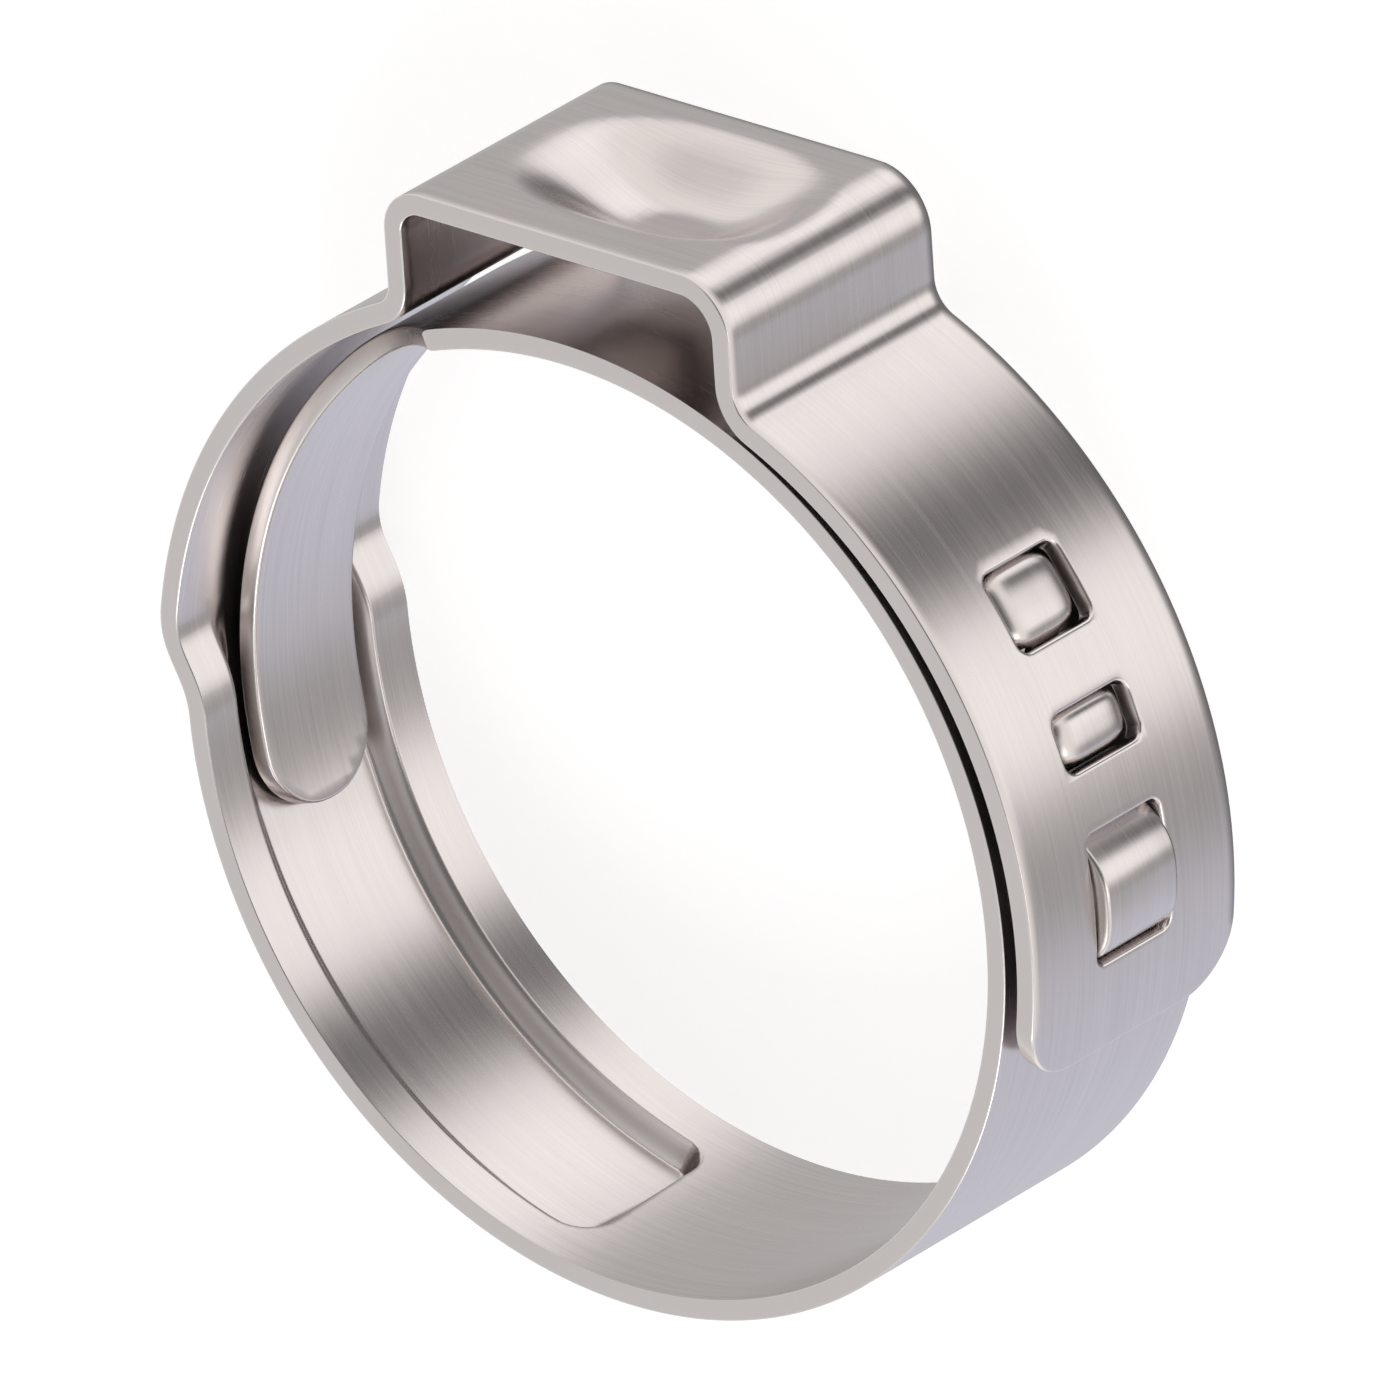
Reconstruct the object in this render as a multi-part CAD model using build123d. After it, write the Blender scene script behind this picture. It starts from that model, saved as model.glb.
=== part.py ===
from build123d import *
from math import atan2, cos, degrees, hypot, radians, sin, sqrt
import os

os.makedirs("parts", exist_ok=True)

# The clamp lies on its lower rim. Z is the bore's axis, the ear points to +Y and the
# overlapping outer end with its windows is on the +X side. All sizes are in mm.
# A turn is an angle about the axis, counted from the ear towards -X, in degrees.

# The strip
WIDE = 7.0
THICK = 0.5
BORE_R = 11.3
INNER_OUT_R = BORE_R + THICK
MID_Z = WIDE / 2

# The tongue at the inner end: the turns where it narrows and ends, and its tip
TAPER_START = 20.0
TAPER_END = 47.0
TONGUE_HALF = 1.7
TONGUE_TIP = 108.2
TONGUE_TIP_CORNER = 1.4

# The channel that guides the tongue, with the play round the tongue
TONGUE_LIFT = 0.3
TONGUE_PLAY = 0.4
FLOOR_R = INNER_OUT_R + TONGUE_LIFT
FLOOR_OUT_R = FLOOR_R + THICK
CHANNEL_HALF = TONGUE_HALF + TONGUE_PLAY
CHANNEL_WALL = 0.45
CHANNEL_LIP = 0.15
CHANNEL_END = 168.5
CHANNEL_END_WALL = 2.2
STEP_HIGH = 80.0
STEP_LOW = 92.0
STEP_CREASE = 14.0

# The outer layer right of the ear: how far it stands off the inner layer at three turns
STAND_OFF_TURNS = (-28.0, -66.0, -104.0)
STAND_OFFS = (0.10, 0.28, 0.32)
OUTER_END = -105.3
OUTER_END_CORNER = 1.6

# The ear: half its width, its height over the inner layer, and its bends
EAR_HALF = 4.95
EAR_HIGH = 2.6
EAR_CORNER = 1.05
LEFT_FOOT = 0.58
RIGHT_FOOT = 0.36
EAR_TOP = INNER_OUT_R + EAR_HIGH

# The dimple in the ear's top
DIMPLE_HALF_LONG = 4.0
DIMPLE_HALF_WIDE = 2.75
DIMPLE_X = 0.3
DIMPLE_Z = MID_Z - 0.25
DIMPLE_DEEP = 1.35

# The windows in the outer layer: middle turn, length, width, corner
WINDOWS = (
    (-56.3, 1.93, 2.50, 0.30),
    (-70.8, 1.37, 2.56, 0.32),
    (-87.6, 3.08, 2.50, 0.26),
)
WINDOW_FLOOR = INNER_OUT_R + 0.03

# The two guide bumps and the hook that stand in the windows
BUMP_PLAY = 0.10
BUMP_SUNK = 0.03
BUMP_DOME_R = 2.0
BUMP_WALL = 0.3
HOOK_PLAY = 0.08
HOOK_HALF = 1.04
HOOK_PROUD = 0.34
HOOK_THICK = 0.42


def at(radius, turn, z=0.0):
    """A point at a radius and a turn from the ear."""
    a = radians(turn)
    return Vector(-radius * sin(a), radius * cos(a), z)


def turn_of(point):
    """The turn of a point in the plan."""
    return degrees(atan2(-point.X, point.Y))


def arc(radius, start, end, middle=(0.0, 0.0)):
    """An arc in the plan between two turns about a middle point."""
    shift = Vector(middle[0], middle[1], 0)
    half = (start + end) / 2
    return ThreePointArc(at(radius, start) + shift, at(radius, half) + shift, at(radius, end) + shift)


def prism(edges, low, high):
    """A plan outline made solid between two heights."""
    face = make_face(edges)
    return extrude(Pos(0, 0, low) * face, amount=high - low, dir=(0, 0, 1))


def sector(r_in, r_out, start, end, low, high):
    """A piece of a ring between two radii, two turns and two heights."""
    edges = [
        arc(r_out, start, end),
        Line(at(r_out, end), at(r_in, end)),
        arc(r_in, end, start),
        Line(at(r_in, start), at(r_out, start)),
    ]
    return prism(edges, low, high)


def radial_plane(turn, radius):
    """A plane square to the radius: its X runs along the strip, its Y along the axis."""
    a = radians(turn)
    return Plane(origin=at(radius, turn, MID_Z), x_dir=(-cos(a), -sin(a), 0), z_dir=(-sin(a), cos(a), 0))


def step_curve(r_low, r_high):
    """The rim's step from the channel's flanges out to the outer layer."""
    half_way = at((r_low + r_high) / 2 + 0.02, (STEP_LOW + STEP_HIGH) / 2)
    start = at(1.0, STEP_LOW - 90)
    end = at(1.0, STEP_HIGH - 90 + STEP_CREASE)
    return Spline(at(r_low, STEP_LOW), half_way, at(r_high, STEP_HIGH), tangents=(start, end))


def circle_through(points):
    """Middle point and radius of the circle through three points."""
    (ax, ay), (bx, by), (cx, cy) = [(p.X, p.Y) for p in points]
    d = 2 * (ax * (by - cy) + bx * (cy - ay) + cx * (ay - by))
    a2, b2, c2 = ax * ax + ay * ay, bx * bx + by * by, cx * cx + cy * cy
    ux = (a2 * (by - cy) + b2 * (cy - ay) + c2 * (ay - by)) / d
    uy = (a2 * (cx - bx) + b2 * (ax - cx) + c2 * (bx - ax)) / d
    return (ux, uy), hypot(ax - ux, ay - uy)


half = THICK / 2
right_points = [at(INNER_OUT_R + off + half, turn) for off, turn in zip(STAND_OFFS, STAND_OFF_TURNS)]
right_middle, right_r = circle_through(right_points)
leg = EAR_HALF - half


def right_out_r(turn):
    """The outer layer's outside radius right of the ear, at a turn."""
    ray = at(1.0, turn)
    along = ray.X * right_middle[0] + ray.Y * right_middle[1]
    across = hypot(*right_middle) ** 2 - along * along
    return along + sqrt((right_r + half) ** 2 - across)


def foot(side, middle, radius, fillet):
    """The bend between a leg of the ear and the round strip, on the strip's middle line."""
    x = side * (leg + fillet)
    dx = x - middle[0]
    y = middle[1] + sqrt((radius + fillet) ** 2 - dx * dx)
    centre = Vector(x, y, 0)
    away = Vector(dx, y - middle[1], 0).normalized()
    return centre, away


def bend(centre, radius, start, end):
    """An arc about a centre between two directions."""
    a = start.normalized()
    b = end.normalized()
    c = (a + b).normalized()
    return ThreePointArc(centre + a * radius, centre + c * radius, centre + b * radius)


def strip_side(offset):
    """The strip's line on one side, from the taper of the tongue round to the outer end.

    It comes in two runs, before and after the flat of the ear's top."""
    inner = BORE_R + half + offset
    outer = FLOOR_R + half + offset
    left_centre, left_away = foot(-1, (0.0, 0.0), FLOOR_R + half, LEFT_FOOT + half)
    left_foot_r = LEFT_FOOT + half - offset
    left_end = left_centre - left_away * left_foot_r
    corner_r = EAR_CORNER - half + offset
    corner_y = EAR_TOP - EAR_CORNER
    corner_x = EAR_HALF - EAR_CORNER
    leg_x = leg + offset
    first = [
        arc(inner, TAPER_START, STEP_LOW - 360),
        step_curve(inner, outer),
        arc(outer, STEP_HIGH, turn_of(left_end)),
        bend(left_centre, left_foot_r, -left_away, Vector(1, 0, 0)),
        Line((-leg_x, left_centre.Y), (-leg_x, corner_y)),
        bend(Vector(-corner_x, corner_y, 0), corner_r, Vector(-1, 0, 0), Vector(0, 1, 0)),
    ]
    right_centre, right_away = foot(1, right_middle, right_r, RIGHT_FOOT + half)
    right_foot_r = RIGHT_FOOT + half - offset
    shift = Vector(right_middle[0], right_middle[1], 0)
    right_start = turn_of(right_centre - right_away * right_foot_r - shift)
    ray = at(1.0, OUTER_END)
    along = ray.dot(shift)
    end_point = ray * (along + sqrt(along * along + (right_r + offset) ** 2 - shift.dot(shift)))
    right_end = turn_of(end_point - shift)
    second = [
        bend(Vector(corner_x, corner_y, 0), corner_r, Vector(0, 1, 0), Vector(1, 0, 0)),
        Line((leg_x, corner_y), (leg_x, right_centre.Y)),
        bend(right_centre, right_foot_r, Vector(-1, 0, 0), -right_away),
        arc(right_r + offset, right_start, right_end, right_middle),
    ]
    return first, second


def between(one, other):
    """A strip solid of the full width between two side lines."""
    ends = [
        Line(one[0] @ 0, other[0] @ 0),
        Line(one[-1] @ 1, other[-1] @ 1),
    ]
    return prism(one + other + ends, 0, WIDE)


out_first, out_second = strip_side(half)
in_first, in_second = strip_side(-half)
clamp = between(out_first, in_first) + between(out_second, in_second)


# The ear's top: a sheet pressed down into a long soft dimple
def dimple(x, z):
    """How far the ear's top is pressed down at a point."""
    u = abs((x - DIMPLE_X) / DIMPLE_HALF_LONG)
    v = abs((z - DIMPLE_Z) / DIMPLE_HALF_WIDE)
    reach = (u ** 2.6 + v ** 2.6) ** (1 / 2.6)
    if reach >= 1:
        return 0.0
    slope = min(1.0, (1 - reach) / 0.62)
    return DIMPLE_DEEP * slope * slope * (3 - 2 * slope)


flat_half = EAR_HALF - EAR_CORNER
columns = 20
rows = 18
net = []
for i in range(columns + 1):
    x = -flat_half + 2 * flat_half * i / columns
    line = []
    for j in range(rows + 1):
        z = WIDE * j / rows
        edge = 0.0 if i < 2 or i > columns - 2 else dimple(x, z)
        line.append(Vector(x, EAR_TOP - edge, z))
    net.append(line)
ear_face = Face.make_bezier_surface(net)
ear_top = extrude(ear_face, amount=THICK, dir=(0, -1, 0))
clamp += ear_top

# The channel: the strip's middle runs on outside, its rims step in as two flanges
low_wall = MID_Z - CHANNEL_HALF
high_wall = MID_Z + CHANNEL_HALF
clamp -= sector(BORE_R - 0.4, FLOOR_OUT_R + 0.4, STEP_HIGH, CHANNEL_END, low_wall, high_wall)
clamp += sector(
    FLOOR_R, FLOOR_OUT_R, STEP_HIGH, CHANNEL_END + CHANNEL_END_WALL,
    low_wall - CHANNEL_WALL, high_wall + CHANNEL_WALL,
)
web = [
    arc(FLOOR_R + half, STEP_HIGH, CHANNEL_END + CHANNEL_END_WALL),
    Line(at(FLOOR_R + half, CHANNEL_END + CHANNEL_END_WALL), at(BORE_R + half, CHANNEL_END + CHANNEL_END_WALL)),
    arc(BORE_R + half, CHANNEL_END + CHANNEL_END_WALL, STEP_LOW),
    step_curve(BORE_R + half, FLOOR_R + half),
]
clamp += prism(web, low_wall - CHANNEL_WALL, low_wall)
clamp += prism(web, high_wall, high_wall + CHANNEL_WALL)
clamp += sector(
    BORE_R + half, FLOOR_R + half, CHANNEL_END, CHANNEL_END + CHANNEL_END_WALL,
    low_wall - CHANNEL_WALL, high_wall + CHANNEL_WALL,
)

# The outer end has rounded corners
end_plane = radial_plane(OUTER_END, WINDOW_FLOOR)
for side in (-1, 1):
    block = Rectangle(2 * OUTER_END_CORNER, 2 * OUTER_END_CORNER)
    keep = Pos(OUTER_END_CORNER, -side * OUTER_END_CORNER) * Circle(OUTER_END_CORNER)
    waste = end_plane * (Pos(0, side * MID_Z) * (block - keep))
    clamp -= extrude(waste, amount=2.0)


def standing_block(turn, long, wide, round_r, low_r, high_r):
    """A rounded block that stands square to the strip at a turn."""
    base = radial_plane(turn, low_r) * RectangleRounded(long, wide, round_r)
    return extrude(base, amount=high_r - low_r)


# The windows go through the outer layer only
for turn, long, wide, round_r in WINDOWS:
    clamp -= standing_block(turn, long, wide, round_r, WINDOW_FLOOR, right_r + 2.0)

# Two guide bumps are pressed out of the inner layer, hollow behind, and stand in the windows
for turn, long, wide, round_r in WINDOWS[:2]:
    top_r = right_out_r(turn) - BUMP_SUNK
    dome_middle = radial_plane(turn, top_r - BUMP_DOME_R).origin
    bump = standing_block(
        turn, long - 2 * BUMP_PLAY, wide - 2 * BUMP_PLAY, round_r, BORE_R + half, top_r,
    )
    bump &= Pos(*dome_middle) * Sphere(BUMP_DOME_R)
    dent = standing_block(
        turn, long - 2 * BUMP_PLAY - 2 * BUMP_WALL, wide - 2 * BUMP_PLAY - 2 * BUMP_WALL, 0.15,
        BORE_R - 1.0, top_r,
    )
    dent &= Pos(*dome_middle) * Sphere(BUMP_DOME_R - BUMP_WALL)
    clamp += bump
    clamp -= dent

# The hook is a bridge cut free on both sides, arched out and bearing on its window's end
hook_turn, hook_window = WINDOWS[2][0], WINDOWS[2][1]
hook_plane = Plane(
    origin=at(INNER_OUT_R, hook_turn, MID_Z), x_dir=at(1.0, hook_turn - 90), z_dir=(0, 0, 1),
)
bear = hook_window / 2 - HOOK_PLAY
rise = right_out_r(hook_turn) + HOOK_PROUD - INNER_OUT_R
hook_outside = Spline(
    (-bear - 0.35, -0.2), (-bear + 0.35, 0.55 * rise), (-0.15, rise), (bear - 0.12, 0.80 * rise),
    tangents=((1, 0.7), (0.35, -1)),
)
hook_inside = Spline(
    (-bear + 0.15, -0.30), (-bear + 0.75, 0.30 * rise), (0.05, rise - HOOK_THICK), (bear - HOOK_THICK, 0.15),
    tangents=((1, 0.9), (0, -1)),
)
hook_edges = [
    hook_outside,
    Line(hook_outside @ 1, (bear, 0.60 * rise)),
    Line((bear, 0.60 * rise), (bear, -0.25)),
    Line((bear, -0.25), (bear - HOOK_THICK, -0.25)),
    Line((bear - HOOK_THICK, -0.25), hook_inside @ 1),
    hook_inside,
    Line(hook_inside @ 0, hook_outside @ 0),
]
hook = extrude(hook_plane * make_face(hook_edges), amount=HOOK_HALF, both=True)
slot = extrude(hook_plane * Rectangle(2 * bear - HOOK_THICK, 2.0), amount=HOOK_HALF + 0.02, both=True)
slot &= sector(BORE_R - 1.0, INNER_OUT_R + 0.01, hook_turn - 12, hook_turn + 12, 0, WIDE)
clamp -= slot
clamp += hook

# The tongue: a narrowing neck, an even blade and a rounded tip
neck_turn = (TAPER_START + TAPER_END) / 2
neck_plane = radial_plane(neck_turn, BORE_R)
neck_half = INNER_OUT_R * sin(radians((TAPER_END - TAPER_START) / 2)) + 0.4
wide_end = -BORE_R * sin(radians((TAPER_END - TAPER_START) / 2))
neck = sector(BORE_R, INNER_OUT_R, TAPER_START, TAPER_END, 0, WIDE)
for side in (-1, 1):
    outline = [
        Line((wide_end, side * MID_Z), (wide_end, side * (MID_Z + 1))),
        Line((wide_end, side * (MID_Z + 1)), (neck_half, side * (MID_Z + 1))),
        Line((neck_half, side * (MID_Z + 1)), (neck_half, side * TONGUE_HALF)),
        Spline(
            (wide_end, side * MID_Z), (0, side * (TONGUE_HALF + 0.38 * (MID_Z - TONGUE_HALF))),
            (-wide_end, side * TONGUE_HALF), (neck_half, side * TONGUE_HALF),
            tangents=((1, -side * 0.55), (1, 0)),
        ),
    ]
    waste = extrude(neck_plane * make_face(outline), amount=2.0, both=True)
    neck -= waste
blade = sector(BORE_R, INNER_OUT_R, TAPER_END, TONGUE_TIP, MID_Z - TONGUE_HALF, MID_Z + TONGUE_HALF)
tip_plane = radial_plane(TONGUE_TIP, BORE_R)
for side in (-1, 1):
    block = Rectangle(2 * TONGUE_TIP_CORNER, 2 * TONGUE_TIP_CORNER)
    keep = Pos(-TONGUE_TIP_CORNER, -side * TONGUE_TIP_CORNER) * Circle(TONGUE_TIP_CORNER)
    cutter = tip_plane * (Pos(0, side * TONGUE_HALF) * (block - keep))
    blade -= extrude(cutter, amount=2.0, both=True)
clamp += neck
clamp += blade


def on_lip(edge):
    """Whether an edge is one of the two long rims where the flanges turn into the channel."""
    middle = edge @ 0.5
    on_bore = abs(hypot(middle.X, middle.Y) - BORE_R) < 0.001
    at_wall = min(abs(middle.Z - low_wall), abs(middle.Z - high_wall)) < 0.001
    return on_bore and at_wall and edge.length > CHANNEL_HALF * 2


# The flanges turn into the channel with a soft lip
clamp = fillet(clamp.edges().filter_by(on_lip), CHANNEL_LIP)

clamp.label = "clamp"
print("valid", clamp.is_valid, "volume", clamp.volume, "solids", len(clamp.solids()))
export_step(clamp, "parts/clamp.step")
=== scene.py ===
import math

import bpy
import numpy as np
from mathutils import Matrix, Vector


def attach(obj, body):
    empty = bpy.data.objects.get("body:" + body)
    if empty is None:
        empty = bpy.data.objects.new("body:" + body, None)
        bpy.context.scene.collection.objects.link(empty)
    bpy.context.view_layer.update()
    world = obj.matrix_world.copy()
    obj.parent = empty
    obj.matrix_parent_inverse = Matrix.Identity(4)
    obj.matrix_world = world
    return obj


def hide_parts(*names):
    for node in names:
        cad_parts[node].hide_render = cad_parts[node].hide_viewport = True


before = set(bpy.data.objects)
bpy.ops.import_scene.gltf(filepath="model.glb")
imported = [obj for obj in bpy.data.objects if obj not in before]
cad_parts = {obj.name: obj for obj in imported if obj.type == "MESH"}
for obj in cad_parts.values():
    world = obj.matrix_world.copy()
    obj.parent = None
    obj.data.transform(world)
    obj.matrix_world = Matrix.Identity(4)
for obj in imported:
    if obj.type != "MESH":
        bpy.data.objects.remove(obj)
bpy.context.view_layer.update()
scene = bpy.context.scene
scene.view_settings.view_transform = "Standard"

# The camera looks down on the clamp from the side of its ear and windows, from
# almost a metre away through a long lens, as in a product photograph.
VIEW_FROM = Vector((0.5983, 0.4321, 0.6750))
VIEW_RIGHT = Vector((0.7659, -0.0600, -0.6403))
VIEW_UP = Vector((-0.2361, 0.8999, -0.3667))
VIEW_AT = Vector((-0.00028, 0.00133, 0.0029))
VIEW_FAR = 0.887
LENS = 1030.0
SENSOR = 36.0

camera_data = bpy.data.cameras.new("camera")
camera_data.lens = LENS
camera_data.sensor_width = SENSOR
camera_data.clip_start = 0.01
camera = bpy.data.objects.new("camera", camera_data)
scene.collection.objects.link(camera)
facing_clamp = Matrix((VIEW_RIGHT, VIEW_UP, VIEW_FROM)).transposed().to_4x4()
camera.matrix_world = Matrix.Translation(VIEW_AT + VIEW_FROM * VIEW_FAR) @ facing_clamp
scene.camera = camera

# The clamp is one strip of stainless sheet steel, rolled into a ring with an ear. Its
# bend line starts at the tongue's tip, goes round once, steps out to the outer layer,
# makes the ear, and ends on top of the first layer. It is the middle of the sheet, in mm.
WIDE = 7.0
THICK = 0.5
RING_R = 11.55
OUTER_R = 12.35
TONGUE_TIP = 108.2
STEP_START = -268.0
STEP_END = -280.0
STEP_REACH = 1.15
EAR_LEG_X = 4.7
EAR_TOP_Y = 14.15
LEFT_CORNER_R = 0.8
RIGHT_CORNER_R = 1.15
LEFT_FOOT = (-5.53, 11.9638)
LEFT_FOOT_R = 0.83
LEFT_FOOT_TURN = -155.19
RIGHT_FOOT = (5.8, 11.9002)
RIGHT_FOOT_R = 1.1
RIGHT_FOOT_TURN = 155.51
OVERLAP_MIDDLE = (0.3677, -0.0278)
OVERLAP_R = 12.0066
OVERLAP_END = -105.64
CURVE_STEPS = 200


def on_circle(middle, radius, turn):
    """A point on a circle, by its turn from the ear towards -X."""
    a = math.radians(turn)
    return Vector((middle[0] - radius * math.sin(a), middle[1] + radius * math.cos(a), 0.0))


def heading(turn):
    """The direction in which a circle is followed as the turn grows."""
    a = math.radians(turn)
    return Vector((-math.cos(a), -math.sin(a), 0.0))


def arc_run(middle, radius, start, end):
    """An arc of the bend line as smooth pieces of up to 60 degrees."""
    pieces = max(1, math.ceil(abs(end - start) / 60.0))
    sweep = (end - start) / pieces
    reach = radius * 4.0 / 3.0 * math.tan(math.radians(sweep) / 4.0)
    run = []
    for i in range(pieces):
        a, b = start + i * sweep, start + (i + 1) * sweep
        first, last = on_circle(middle, radius, a), on_circle(middle, radius, b)
        run.append((first, first + heading(a) * reach, last - heading(b) * reach, last))
    return run


def straight_run(first, last):
    """A straight stretch of the bend line."""
    first, last = Vector((*first, 0.0)), Vector((*last, 0.0))
    return [(first, first.lerp(last, 1 / 3), first.lerp(last, 2 / 3), last)]


def draw_line(name, runs):
    """A drawn curve through runs that follow each other."""
    data = bpy.data.curves.new(name, "CURVE")
    data.dimensions = "2D"
    data.resolution_u = CURVE_STEPS
    spline = data.splines.new("BEZIER")
    spline.bezier_points.add(len(runs))
    for i, point in enumerate(spline.bezier_points):
        point.handle_left_type = point.handle_right_type = "FREE"
        point.co = runs[i][0] if i < len(runs) else runs[-1][3]
        point.handle_left = runs[i - 1][2] if i else point.co
        point.handle_right = runs[i][1] if i < len(runs) else point.co
    line = bpy.data.objects.new(name, data)
    scene.collection.objects.link(line)
    return line


def points_along(line):
    """The points that a drawn curve goes through, and how far along it each one lies."""
    drawn = line.to_mesh()
    points = np.array([v.co[:2] for v in drawn.vertices])
    line.to_mesh_clear()
    gaps = np.hypot(*np.diff(points, axis=0).T)
    return points, np.concatenate(([0.0], np.cumsum(gaps)))


left_x = EAR_LEG_X - LEFT_CORNER_R
left_y = EAR_TOP_Y - LEFT_CORNER_R
right_x = EAR_LEG_X - RIGHT_CORNER_R
right_y = EAR_TOP_Y - RIGHT_CORNER_R
step_first = on_circle((0, 0), RING_R, STEP_START)
step_last = on_circle((0, 0), OUTER_R, STEP_END)
bend_runs = arc_run((0, 0), RING_R, TONGUE_TIP, STEP_START)
bend_runs += [(
    step_first, step_first - heading(STEP_START) * STEP_REACH,
    step_last + heading(STEP_END) * STEP_REACH, step_last,
)]
bend_runs += arc_run((0, 0), OUTER_R, STEP_END, -180.0 + LEFT_FOOT_TURN)
bend_runs += arc_run(LEFT_FOOT, LEFT_FOOT_R, LEFT_FOOT_TURN, -90.0)
bend_runs += straight_run((-EAR_LEG_X, LEFT_FOOT[1]), (-EAR_LEG_X, left_y))
bend_runs += arc_run((-left_x, left_y), LEFT_CORNER_R, 90.0, 0.0)
bend_runs += straight_run((-left_x, EAR_TOP_Y), (right_x, EAR_TOP_Y))
bend_runs += arc_run((right_x, right_y), RIGHT_CORNER_R, 0.0, -90.0)
bend_runs += straight_run((EAR_LEG_X, right_y), (EAR_LEG_X, RIGHT_FOOT[1]))
bend_runs += arc_run(RIGHT_FOOT, RIGHT_FOOT_R, 90.0, RIGHT_FOOT_TURN)
bend_runs += arc_run(OVERLAP_MIDDLE, OVERLAP_R, RIGHT_FOOT_TURN - 180.0, OVERLAP_END)
bend_line = draw_line("bend_line", bend_runs)

# Each point of the bend line has a radius and a turn about the bore
line_points, line_along = points_along(bend_line)
line_radius = np.hypot(line_points[:, 0], line_points[:, 1])
line_turn = np.degrees(np.unwrap(np.arctan2(-line_points[:, 0], line_points[:, 1])))
line_turn += TONGUE_TIP - line_turn[0]
strip_long = float(line_along[-1])
ear_middle = int(np.argmin(np.abs(line_turn + 360.0)))
off_ear_top = np.abs(line_points[:, 0] + left_x) + np.abs(line_points[:, 1] - EAR_TOP_Y)
ear_along = line_along[int(np.argmin(off_ear_top))] + left_x


def inner_along(turn):
    """How far along the strip a turn of the first ring lies."""
    return math.radians(TONGUE_TIP - turn) * RING_R


def outer_along(turn):
    """How far along the strip a turn of the overlapping layer lies."""
    return float(np.interp(360.0 - turn, -line_turn[ear_middle:], line_along[ear_middle:]))


# The blank is cut from the sheet by a die: a long strip with three windows near its outer
# end, a slot under the future hook, and a tongue that narrows in two soft curves. It lies
# along X, with the face that becomes the ring's outside towards +Y.
TONGUE_HALF = 1.7
TAPER_END = 47.0
NECK_R = 9.13
NECK_STEPS = 56
TIP_CORNER = 1.62
END_CORNER = 1.6
EDGE_R = 0.085
HOOK_TURN = -87.6
SLOT_HALF = 1.10
SLOT_HALF_LONG = 1.25
SLOT_CORNER = 0.1

# Each window has its turn, its length along the strip, its width and its corner radius
BUMP_WINDOWS = ((-56.3, 1.93, 2.50, 0.30), (-70.8, 1.37, 2.56, 0.32))
HOOK_WINDOW = (HOOK_TURN, 3.08, 2.50, 0.26)


def only(piece):
    """Makes a piece the one that is selected and worked on."""
    bpy.ops.object.select_all(action="DESELECT")
    piece.select_set(True)
    bpy.context.view_layer.objects.active = piece


def slab(name, low, high):
    """A plain block between two corners."""
    bpy.ops.object.select_all(action="DESELECT")
    bpy.ops.mesh.primitive_cube_add(size=1.0)
    piece = bpy.context.object
    piece.name = name
    piece.scale = [b - a for a, b in zip(low, high)]
    piece.location = [(a + b) / 2 for a, b in zip(low, high)]
    bpy.ops.object.transform_apply(location=True, rotation=False, scale=True)
    return piece


def runs_through(first, last):
    """Whether an edge goes straight through the sheet's thickness."""
    return abs(first.x - last.x) < 1e-4 and abs(first.z - last.z) < 1e-4


def runs_along(first, last):
    """Whether an edge goes straight along the strip."""
    return abs(first.y - last.y) < 1e-4 and abs(first.z - last.z) < 1e-4


def round_off(piece, wanted, radius, segments):
    """Rounds the edges whose two ends satisfy a condition."""
    only(piece)
    mesh = piece.data
    for part in (mesh.vertices, mesh.edges, mesh.polygons):
        for item in part:
            item.select = False
    for edge in mesh.edges:
        first, last = (mesh.vertices[i].co for i in edge.vertices)
        edge.select = bool(wanted(first, last))
    bpy.context.tool_settings.mesh_select_mode = (False, True, False)
    bpy.ops.object.mode_set(mode="EDIT")
    bpy.ops.mesh.bevel(offset=radius, segments=segments, profile=0.5, affect="EDGES")
    bpy.ops.object.mode_set(mode="OBJECT")


def punch(piece, low, high, corner, segments):
    """Cuts a block with rounded corners out of the blank, right through it."""
    die = slab("die", (low[0], -2 * THICK, low[1]), (high[0], 2 * THICK, high[1]))
    round_off(die, runs_through, corner, segments)
    only(piece)
    cut = piece.modifiers.new("cut", "BOOLEAN")
    cut.operation = "DIFFERENCE"
    cut.solver = "EXACT"
    cut.object = die
    bpy.ops.object.modifier_apply(modifier="cut")
    bpy.data.objects.remove(die)


middle_z = WIDE / 2
strip = slab("strip", (0.0, -THICK / 2, 0.0), (strip_long, THICK / 2, WIDE))
taper_along = inner_along(TAPER_END)
die_reach = 4 * NECK_R
for side in (1, -1):
    low_z, high_z = sorted((middle_z + side * TONGUE_HALF, middle_z + side * die_reach))
    punch(strip, (taper_along - die_reach, low_z), (taper_along + NECK_R, high_z), NECK_R, NECK_STEPS)
for turn, long, wide, corner in (*BUMP_WINDOWS, HOOK_WINDOW):
    middle = outer_along(turn)
    low = (middle - long / 2, middle_z - wide / 2)
    high = (middle + long / 2, middle_z + wide / 2)
    punch(strip, low, high, corner, 6)
slot_along = inner_along(HOOK_TURN)
low = (slot_along - SLOT_HALF_LONG, middle_z - SLOT_HALF)
high = (slot_along + SLOT_HALF_LONG, middle_z + SLOT_HALF)
punch(strip, low, high, SLOT_CORNER, 2)
round_off(strip, lambda a, b: runs_through(a, b) and a.x < 0.01, TIP_CORNER, 12)
round_off(strip, lambda a, b: runs_through(a, b) and a.x > strip_long - 0.01, END_CORNER, 14)

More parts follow.
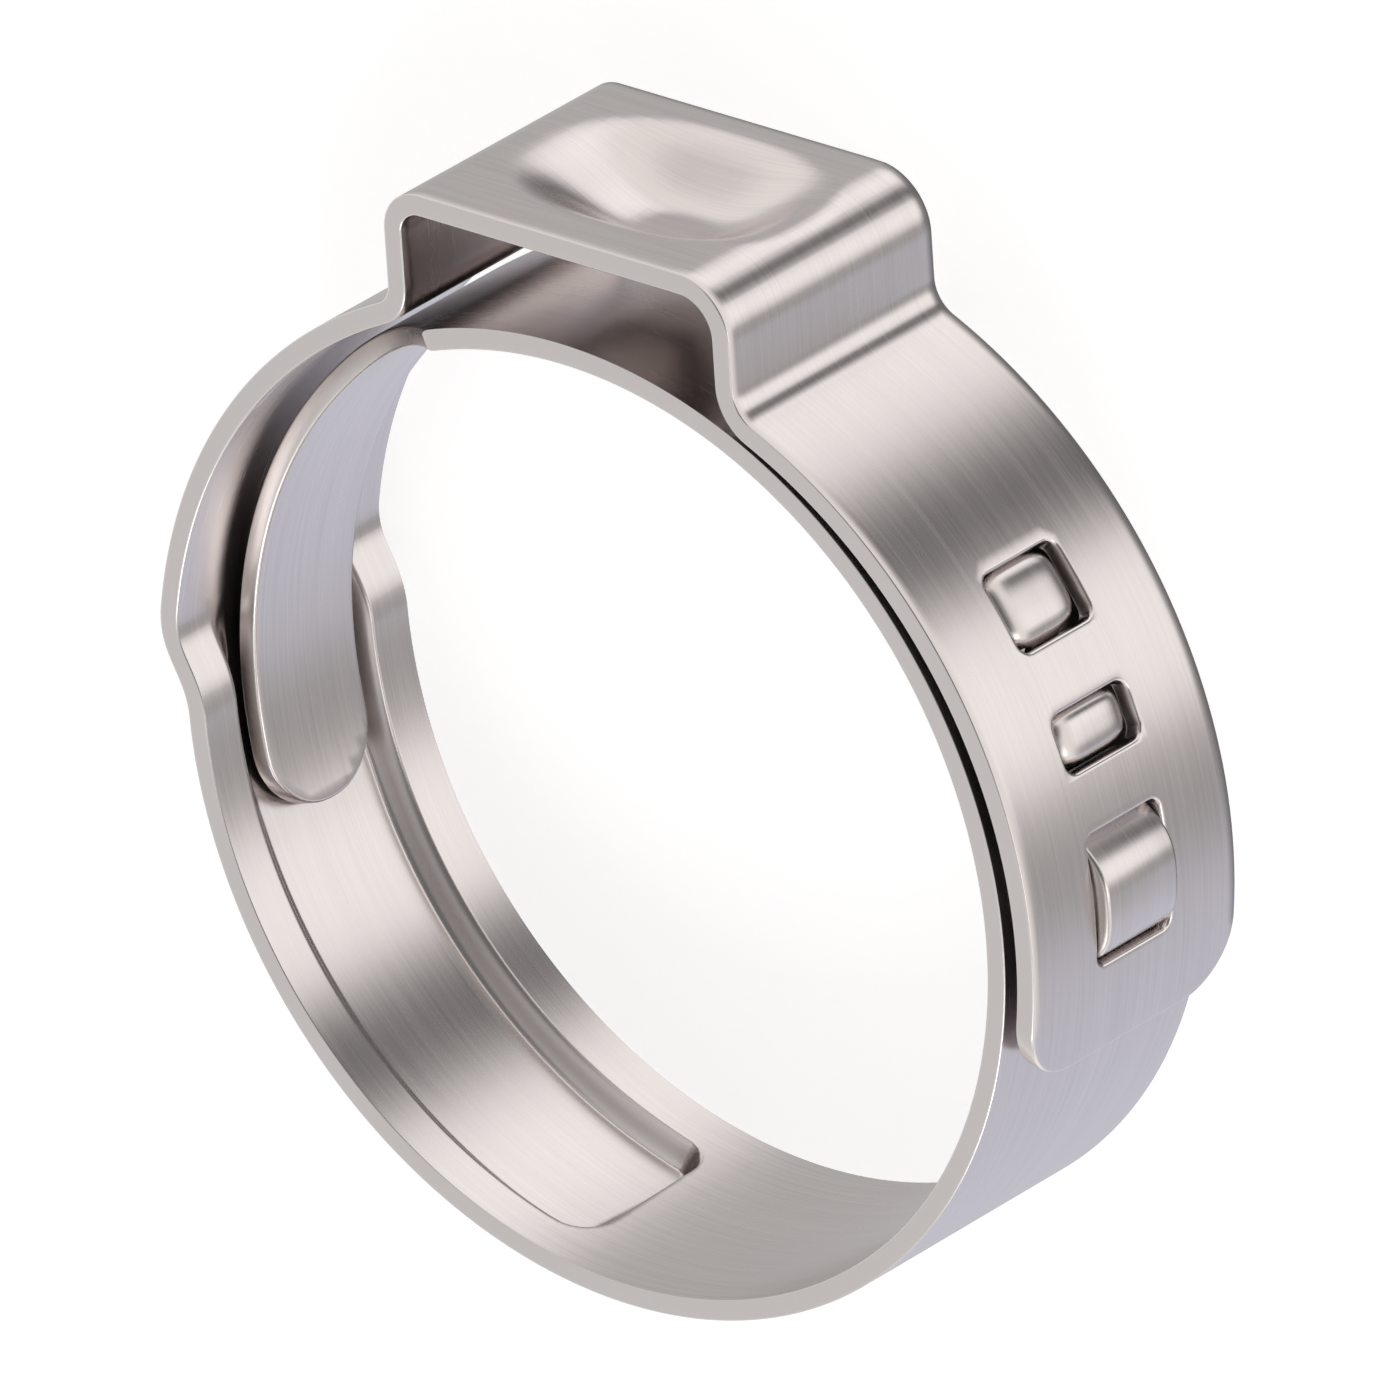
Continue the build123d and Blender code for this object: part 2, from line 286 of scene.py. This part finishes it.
# The die leaves a slightly rounded rim all round
only(strip)
rim = strip.modifiers.new("rim", "BEVEL")
rim.limit_method = "ANGLE"
rim.angle_limit = math.radians(60.0)
rim.width = EDGE_R
rim.segments = 3
rim.use_clamp_overlap = False
bpy.ops.object.modifier_apply(modifier="rim")

# The blank's large flat faces are divided so that they can bend: all over, then finer
# where the sheet is bent sharply or pressed. Places about the ear count from its middle.
PLAIN_CUT = 0.35
EAR_CUT = 0.07
LEFT_BENDS = (-8.2, -3.6)
RIGHT_BENDS = (3.6, 8.0)
DIMPLE_CUT = 0.14
DIMPLE_PLACE = (-4.2, 4.9)
DIMPLE_MARGIN = 0.2
BUMP_CUT = 0.07
CHANNEL_END = 168.5
CHANNEL_RUN_IN = 3.2
RUN_IN_CUT = 0.1
RUN_IN_PLACE = 3.6
END_CUT_LONG = 0.06
END_CUT_WIDE = 0.12
END_PLACE = (-0.9, 0.7)
END_MARGIN = 0.7
LIP_CUT = 0.045
LIP_PLACE = (1.55, 2.9)


def slice_up(piece, low, high, step_long, step_wide):
    """Divides the faces between two corners by even cuts across and along the strip.

    A step of 0 makes no cuts of its kind. Cuts across the strip alone go over its whole width.
    """
    only(piece)
    mesh = piece.data
    middles = np.empty(len(mesh.polygons) * 3)
    mesh.polygons.foreach_get("center", middles)
    middles = middles.reshape(-1, 3)
    inside = (middles[:, 0] > low[0]) & (middles[:, 0] < high[0])
    if step_wide:
        inside &= (middles[:, 2] > low[1]) & (middles[:, 2] < high[1])
    mesh.vertices.foreach_set("select", np.zeros(len(mesh.vertices), bool))
    mesh.edges.foreach_set("select", np.zeros(len(mesh.edges), bool))
    mesh.polygons.foreach_set("select", inside)
    bpy.context.tool_settings.mesh_select_mode = (False, False, True)
    bpy.ops.object.mode_set(mode="EDIT")
    bpy.ops.mesh.hide(unselected=True)
    cuts = []
    if step_long:
        count = max(1, round((high[0] - low[0]) / step_long))
        places = [low[0] + (high[0] - low[0]) * i / count for i in range(count + 1)]
        cuts += [((place, 0, 0), (1, 0, 0)) for place in places]
    if step_wide:
        count = max(1, round((high[1] - low[1]) / step_wide))
        places = [low[1] + (high[1] - low[1]) * i / count for i in range(count + 1)]
        cuts += [((0, 0, place), (0, 0, 1)) for place in places]
    for point, normal in cuts:
        bpy.ops.mesh.select_all(action="SELECT")
        bpy.ops.mesh.bisect(plane_co=point, plane_no=normal)
    bpy.ops.mesh.reveal(select=False)
    bpy.ops.object.mode_set(mode="OBJECT")


channel_low = inner_along(CHANNEL_END - 360.0)
channel_high = inner_along(STEP_START) + CHANNEL_RUN_IN
slice_up(strip, (0.0, 0.0), (strip_long, WIDE), PLAIN_CUT, 0.0)
slice_up(strip, (0.0, 0.0), (strip_long, WIDE), 0.0, PLAIN_CUT)
for first, last in (LEFT_BENDS, RIGHT_BENDS):
    slice_up(strip, (ear_along + first, 0.0), (ear_along + last, WIDE), EAR_CUT, 0.0)
slice_up(
    strip, (ear_along + DIMPLE_PLACE[0], DIMPLE_MARGIN),
    (ear_along + DIMPLE_PLACE[1], WIDE - DIMPLE_MARGIN), DIMPLE_CUT, DIMPLE_CUT,
)
for turn, long, wide, corner in BUMP_WINDOWS:
    middle = inner_along(turn)
    low = (middle - long / 2, middle_z - wide / 2)
    high = (middle + long / 2, middle_z + wide / 2)
    slice_up(strip, low, high, BUMP_CUT, BUMP_CUT)
slice_up(strip, (channel_high - RUN_IN_PLACE, 0.0), (channel_high, WIDE), RUN_IN_CUT, 0.0)
slice_up(
    strip, (channel_low + END_PLACE[0], END_MARGIN),
    (channel_low + END_PLACE[1], WIDE - END_MARGIN), END_CUT_LONG, END_CUT_WIDE,
)
for side in (-1, 1):
    low_z, high_z = sorted(middle_z + side * place for place in LIP_PLACE)
    slice_up(strip, (channel_low + END_PLACE[0], low_z), (channel_high, high_z), 0.0, LIP_CUT)

# A press then forms the channel that takes the tongue, two guide bumps that come up in
# their windows, and the ear's dimple. Lifts are outwards, in mm, for the sheet's inner
# and outer skin, so that a wall keeps its thickness.
CHANNEL_HALF = 2.1
CHANNEL_WALL = 0.45
CHANNEL_CORNER = 0.7
CHANNEL_DEEP = 0.60
CHANNEL_FADE = 3.5
CHANNEL_OPEN = 5.0
LIP_SOFT = 0.42
NEAR_LIP_SOFT = 0.75
LIP_BLEND = 1.2
WALL_SOFT = 0.36
BUMP_PLAY = 0.05
BUMP_ASIDE = 0.05
BUMP_SUNK = 0.02
BUMP_WALL = 0.3
BUMP_FULL = 3.6
DIMPLE_HALF_LONG = 4.0
DIMPLE_HALF_WIDE = 2.75
DIMPLE_ALONG = 0.3
DIMPLE_ACROSS = -0.25
DIMPLE_DEEP = 1.22
DIMPLE_FULL = 2.6
DIMPLE_SLOPE = 0.82


def eased(value):
    """A smooth rise from 0 to 1."""
    value = np.clip(value, 0.0, 1.0)
    return value * value * (3 - 2 * value)


def inside_block(along, across, half_long, half_wide, corner):
    """How deep a point lies inside a block with rounded corners, negative outside it."""
    x = np.abs(along) - (half_long - corner)
    y = np.abs(across) - (half_wide - corner)
    out = np.hypot(np.maximum(x, 0.0), np.maximum(y, 0.0)) + np.minimum(np.maximum(x, y), 0.0)
    return corner - out


points = np.empty(len(strip.data.vertices) * 3)
strip.data.vertices.foreach_get("co", points)
points = points.reshape(-1, 3)
along, outward, across = points[:, 0], points[:, 1], points[:, 2] - middle_z
skin = outward / THICK + 0.5

# The rounded rim is marked here, where the steel gets a painted highlight: a brighter colour, with a
# little less roughness
RIM_EDGE = 0.004
RIM_FOOT = 0.01
off_middle = np.abs(outward)
on_rim = (off_middle < THICK / 2 - RIM_EDGE) & (off_middle > THICK / 2 - EDGE_R - RIM_FOOT)
rim_highlight_attribute = strip.data.attributes.new("rim_highlight", "FLOAT", "POINT")
rim_highlight_attribute.data.foreach_set("value", on_rim.astype(np.float32))

# The channel's floor sinks from the outer layer's height at the step to its own depth
sunk = eased((inner_along(STEP_START) - along) / CHANNEL_FADE)
rise = (OUTER_R - np.interp(along, line_along, line_radius)) * (1 - sunk) + CHANNEL_DEEP * sunk
rise = np.where(along < channel_high, rise, 0.0)
half_long = (channel_high - channel_low) / 2 + CHANNEL_OPEN
from_middle = along - channel_low - half_long
floor_in = inside_block(from_middle, across, half_long, CHANNEL_HALF, CHANNEL_CORNER)
floor_out = inside_block(
    from_middle, across, half_long + CHANNEL_WALL, CHANNEL_HALF + CHANNEL_WALL,
    CHANNEL_CORNER + CHANNEL_WALL,
)
lip = np.interp(across, (-LIP_BLEND, LIP_BLEND), (LIP_SOFT, NEAR_LIP_SOFT))
lift_in = rise * eased(floor_in / lip + 0.5)
lift_out = rise * eased(floor_out / WALL_SOFT + 0.5)

# Each bump fills its window like a pillow, almost level with the outer layer
for turn, long, wide, corner in BUMP_WINDOWS:
    bump_along = inner_along(turn) - BUMP_ASIDE
    top = np.interp(outer_along(turn), line_along, line_radius) + THICK / 2 - BUMP_SUNK
    high = top - RING_R - THICK / 2
    half_long, half_wide = long / 2 - BUMP_PLAY, wide / 2 - BUMP_PLAY
    for lift, wall in ((lift_out, 0.0), (lift_in, BUMP_WALL)):
        x = np.abs(along - bump_along) / (half_long - wall)
        y = np.abs(across - BUMP_ASIDE) / (half_wide - wall)
        pillow = np.clip(1 - x ** BUMP_FULL - y ** BUMP_FULL, 0.0, 1.0) ** (1 / BUMP_FULL)
        lift += high * pillow

# The dimple is a long oval bowl with a small flat floor
u = np.abs((along - ear_along - DIMPLE_ALONG) / DIMPLE_HALF_LONG)
v = np.abs((across - DIMPLE_ACROSS) / DIMPLE_HALF_WIDE)
reach = (u ** DIMPLE_FULL + v ** DIMPLE_FULL) ** (1 / DIMPLE_FULL)
dip = DIMPLE_DEEP * eased((1 - reach) / DIMPLE_SLOPE)
lift_in -= dip
lift_out -= dip

points[:, 1] += lift_in + (lift_out - lift_in) * skin
strip.data.vertices.foreach_set("co", points.ravel())
strip.data.update()


def roll(piece, line):
    """Bends a straight piece along its line, which is then done with."""
    only(piece)
    bend = piece.modifiers.new("bend", "CURVE")
    bend.object = line
    bend.deform_axis = "POS_X"
    bpy.ops.object.modifier_apply(modifier="bend")
    bpy.data.objects.remove(line)


roll(strip, bend_line)


# The steel has a satin finish: a fine grain runs along the strip, with soft wider bands,
# faint clouds and a duller cut edge. The rounded rims get a brighter colour, a painted highlight.
DULL_SHEET = (0.590, 0.543, 0.530, 1.0)
BRIGHT_SHEET = (0.690, 0.636, 0.620, 1.0)
CUT_EDGE = (0.570, 0.532, 0.518, 1.0)
# The rounded rims' colour is brighter than the sheet's: a painted highlight
PAINTED_RIM_HIGHLIGHT = (0.720, 0.680, 0.665, 1.0)
GRAIN_DEEP = 0.000003


class Maths:
    """A number or colour in a node tree, to be used in plain expressions."""

    def __init__(self, tree, socket=None):
        self.tree = tree
        self.socket = socket

    def node(self, kind, settings=None, inputs=None, out=0):
        """A node of a kind, with its settings and the values or links of its sockets."""
        made = self.tree.nodes.new(kind)
        for name, value in (settings or {}).items():
            setattr(made, name, value)
        for name, value in (inputs or {}).items():
            if isinstance(value, Maths):
                self.tree.links.new(value.socket, made.inputs[name])
            else:
                made.inputs[name].default_value = value
        return Maths(self.tree, made.outputs[out])

    def maths(self, operation, first, second=0.0):
        return self.node("ShaderNodeMath", {"operation": operation}, {0: first, 1: second})

    def limited(self, low, high):
        """0 below one value, 1 above the other, and an even rise between them."""
        settings = {"clamp": True}
        inputs = {"Value": self, "From Min": low, "From Max": high}
        return self.node("ShaderNodeMapRange", settings, inputs)

    def blend(self, first, second):
        """A colour between two, by this share of the second."""
        return self.node("ShaderNodeMix", {"data_type": "RGBA"}, {0: self, 6: first, 7: second}, out=2)

    def feed(self, socket):
        """Links this to a shader's socket."""
        self.tree.links.new(self.socket, socket)

    def __add__(self, other):
        return self.maths("ADD", self, other)

    def __radd__(self, other):
        return self.maths("ADD", other, self)

    def __sub__(self, other):
        return self.maths("SUBTRACT", self, other)

    def __rsub__(self, other):
        return self.maths("SUBTRACT", other, self)

    def __mul__(self, other):
        return self.maths("MULTIPLY", self, other)

    def __rmul__(self, other):
        return self.maths("MULTIPLY", other, self)


def new_material(name):
    """A material, the start for its expressions, and its shader's sockets."""
    material = bpy.data.materials.new(name)
    material.use_nodes = True
    tree = material.node_tree
    return material, Maths(tree), tree.nodes["Principled BSDF"].inputs


def noise(start, place, scale, detail):
    """A noise with its own scale along the three axes."""
    stretched = start.node("ShaderNodeMapping", inputs={0: place, 3: scale})
    return start.node("ShaderNodeTexNoise", inputs={"Vector": stretched, "Scale": 1.0, "Detail": detail})


steel, start, shader = new_material("satin_steel")
place = start.node("ShaderNodeTexCoord", out="Object")
facing = start.node("ShaderNodeTexCoord", out="Normal")
facing_z = start.node("ShaderNodeSeparateXYZ", inputs={0: facing}, out="Z")
cut_edge = start.maths("ABSOLUTE", facing_z).limited(0.80, 0.97)
rim_highlight = start.node("ShaderNodeAttribute", {"attribute_name": "rim_highlight"}, out="Fac")
fine = noise(start, place, (300.0, 300.0, 30000.0), 3.0)
medium = noise(start, place, (170.0, 170.0, 7500.0), 2.0)
bands = noise(start, place, (90.0, 90.0, 1800.0), 1.0)
cloud = noise(start, place, (330.0, 330.0, 330.0), 3.0)
grain = 0.5 * fine + 0.5 * medium
shade = (0.45 * fine + 0.30 * medium + 0.15 * bands + 0.10 * cloud).limited(0.30, 0.70)
# On the rounded rims the colour turns brighter, a painted highlight
colour = (0.7 * rim_highlight).blend(cut_edge.blend(shade.blend(DULL_SHEET, BRIGHT_SHEET), CUT_EDGE), PAINTED_RIM_HIGHLIGHT)
rough = 0.19 + 0.09 * grain + 0.05 * cloud + 0.10 * cut_edge - 0.03 * rim_highlight
scratches = {"Strength": 0.24, "Distance": GRAIN_DEEP, "Height": 0.7 * fine + 1.0 * medium}
colour.feed(shader["Base Color"])
rough.feed(shader["Roughness"])
start.node("ShaderNodeBump", inputs=scratches).feed(shader["Normal"])
shader["Metallic"].default_value = 1.0


def finish_steel(piece):
    """Brings a piece from millimetres to metres, smooths its shading and gives it its steel."""
    only(piece)
    piece.scale = (0.001, 0.001, 0.001)
    bpy.ops.object.transform_apply(location=False, rotation=False, scale=True)
    bpy.ops.object.shade_smooth_by_angle(angle=math.radians(38.0))
    even = piece.modifiers.new("even", "WEIGHTED_NORMAL")
    even.keep_sharp = True
    bpy.ops.object.modifier_apply(modifier="even")
    piece.data.materials.clear()
    piece.data.materials.append(steel)
    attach(piece, "root")
    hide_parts("clamp")


finish_steel(strip)

# The hook is a bridge of the same strip, cut free along both sides and pressed out in an
# arch. It comes up through its window and bears on the window's end, which locks the ring.
HOOK_HALF = 1.22
HOOK_THICK = 0.50
HOOK_EDGE_R = 0.11
HOOK_BASE_R = 11.8
HOOK_HIGH = 0.90
HOOK_END = 1.25
HOOK_CUT = 0.07
hook_x = -heading(HOOK_TURN)
hook_y = on_circle((0, 0), 1.0, HOOK_TURN)


def on_hook(x, y):
    """A point beside the hook: x towards the outer end, y outwards from the first ring."""
    return hook_y * (HOOK_BASE_R + y) + hook_x * x


hook_foot = (on_hook(-1.72, -0.42), on_hook(-1.25, 0.08))
hook_top = (on_hook(-1.00, HOOK_HIGH), on_hook(-0.15, HOOK_HIGH))
hook_shoulder = (on_hook(0.62, HOOK_HIGH), on_hook(HOOK_END - 0.02, 0.80), on_hook(HOOK_END, 0.25))
hook_tip = (on_hook(HOOK_END, 0.05), on_hook(HOOK_END, -0.20), on_hook(HOOK_END, -0.40))
hook_line = draw_line("hook_line", [
    (*hook_foot, *hook_top), (hook_top[1], *hook_shoulder), (hook_shoulder[2], *hook_tip),
])
hook_long = float(points_along(hook_line)[1][-1])
low = (0.0, -HOOK_THICK / 2, middle_z - HOOK_HALF)
high = (hook_long, HOOK_THICK / 2, middle_z + HOOK_HALF)
hook = slab("hook", low, high)
round_off(hook, runs_along, HOOK_EDGE_R, 4)
slice_up(hook, (0.0, 0.0), (hook_long, WIDE), HOOK_CUT, 0.0)
roll(hook, hook_line)
finish_steel(hook)

# A white table under the clamp takes its faint shadow. The steel mirrors the room below
# instead of the table.
TABLE_SIZE = 4.0
TABLE_GLOW = 0.66
bpy.ops.object.select_all(action="DESELECT")
bpy.ops.mesh.primitive_plane_add(size=TABLE_SIZE, location=(0.0, 0.0, 0.0))
table = bpy.context.object
table.name = "table"
table.visible_glossy = False
paint, start, shader = new_material("white_table")
shader["Base Color"].default_value = (0.8, 0.8, 0.8, 1.0)
shader["Roughness"].default_value = 1.0
shader["Specular IOR Level"].default_value = 0.0
shader["Emission Strength"].default_value = TABLE_GLOW
seen = start.node("ShaderNodeLightPath", out="Is Camera Ray")
mirrored = start.node("ShaderNodeLightPath", out="Is Glossy Ray")
through_glass = start.node("ShaderNodeLightPath", out="Is Transmission Ray")
(seen + mirrored + through_glass).feed(shader["Emission Color"])
table.data.materials.append(paint)

# The room lights the table evenly and looks white. What the steel mirrors of it is a
# studio: a grey fill with a wide cool wall, two white screens and two dark flags, a
# bright belt at the table's height, and dark straight below and behind the camera.
FILL = (0.40, 0.40, 0.40, 1.0)
COOL_WALL = (0.50, 0.52, 0.60, 1.0)
WHITE_SCREEN = (0.95, 0.95, 0.95, 1.0)
GREY_FLAG = (0.30, 0.30, 0.30, 1.0)
BLACK_FLAG = (0.10, 0.10, 0.10, 1.0)

# Each has its turn about the clamp, half its width and half its soft border, in degrees
STANDS = (
    (190.0, 45.0, 25.0, COOL_WALL),
    (5.0, 22.0, 14.0, WHITE_SCREEN),
    (290.0, 22.0, 8.0, WHITE_SCREEN),
    (250.0, 10.0, 8.0, GREY_FLAG),
    (325.0, 12.0, 8.0, BLACK_FLAG),
)
BELT = (0.78, 0.77, 0.76, 1.0)
ABOVE = (0.52, 0.52, 0.52, 1.0)
DARK = (0.13, 0.13, 0.13, 1.0)
ROOM_WHITE = (1.0, 0.985, 0.98, 1.0)
ROOM_LIGHT = 0.42
SEEN_LIGHT = 1.0
MIRRORED_LIGHT = 1.5

world = bpy.data.worlds.new("room")
scene.world = world
world.use_nodes = True
room = Maths(world.node_tree)
seen = room.node("ShaderNodeLightPath", out="Is Camera Ray")
mirrored = room.node("ShaderNodeLightPath", out="Is Glossy Ray")
direction = room.node("ShaderNodeTexCoord", out="Generated")
flat = room.node("ShaderNodeMapping", inputs={0: direction, 3: (1.0, 1.0, 0.0)})
level = room.node("ShaderNodeVectorMath", {"operation": "NORMALIZE"}, {0: flat})
height = room.node("ShaderNodeSeparateXYZ", inputs={0: direction}, out="Z")


def towards(looked_in, way):
    """The cosine between the direction that is looked in and a fixed one."""
    inputs = {0: looked_in, 1: way}
    return room.node("ShaderNodeVectorMath", {"operation": "DOT_PRODUCT"}, inputs, out=1)


studio = FILL
for turn, half, soft, colour in STANDS:
    border = math.cos(math.radians(half + soft)), math.cos(math.radians(half - soft))
    stand = towards(level, on_circle((0, 0), 1.0, turn)).limited(*border)
    studio = stand.blend(studio, colour)
studio = height.limited(-0.50, -0.28).blend(studio, BELT)
studio = height.limited(0.10, 0.35).blend(studio, ABOVE)
studio = (0.0 - height).limited(0.78, 0.90).blend(studio, DARK)
studio = towards(direction, VIEW_FROM).limited(0.72, 0.88).blend(studio, DARK)
background = world.node_tree.nodes["Background"].inputs
mirrored.blend(ROOM_WHITE, studio).feed(background["Color"])
light = ROOM_LIGHT + (SEEN_LIGHT - ROOM_LIGHT) * seen + (MIRRORED_LIGHT - ROOM_LIGHT) * mirrored
light.feed(background["Strength"])


def soft_box(name, place, size, watts):
    """A square lamp that faces the clamp, out of the camera's sight."""
    lamp_data = bpy.data.lights.new(name, "AREA")
    lamp_data.size = size
    lamp_data.energy = watts
    lamp = bpy.data.objects.new(name, lamp_data)
    scene.collection.objects.link(lamp)
    lamp.location = place
    lamp.rotation_euler = Vector(place).to_track_quat("Z", "Y").to_euler()
    lamp.visible_camera = False


soft_box("high_box", (0.12, -0.52, 0.58), 0.25, 0.7)
soft_box("side_box", (0.62, -0.10, 0.22), 0.30, 0.4)
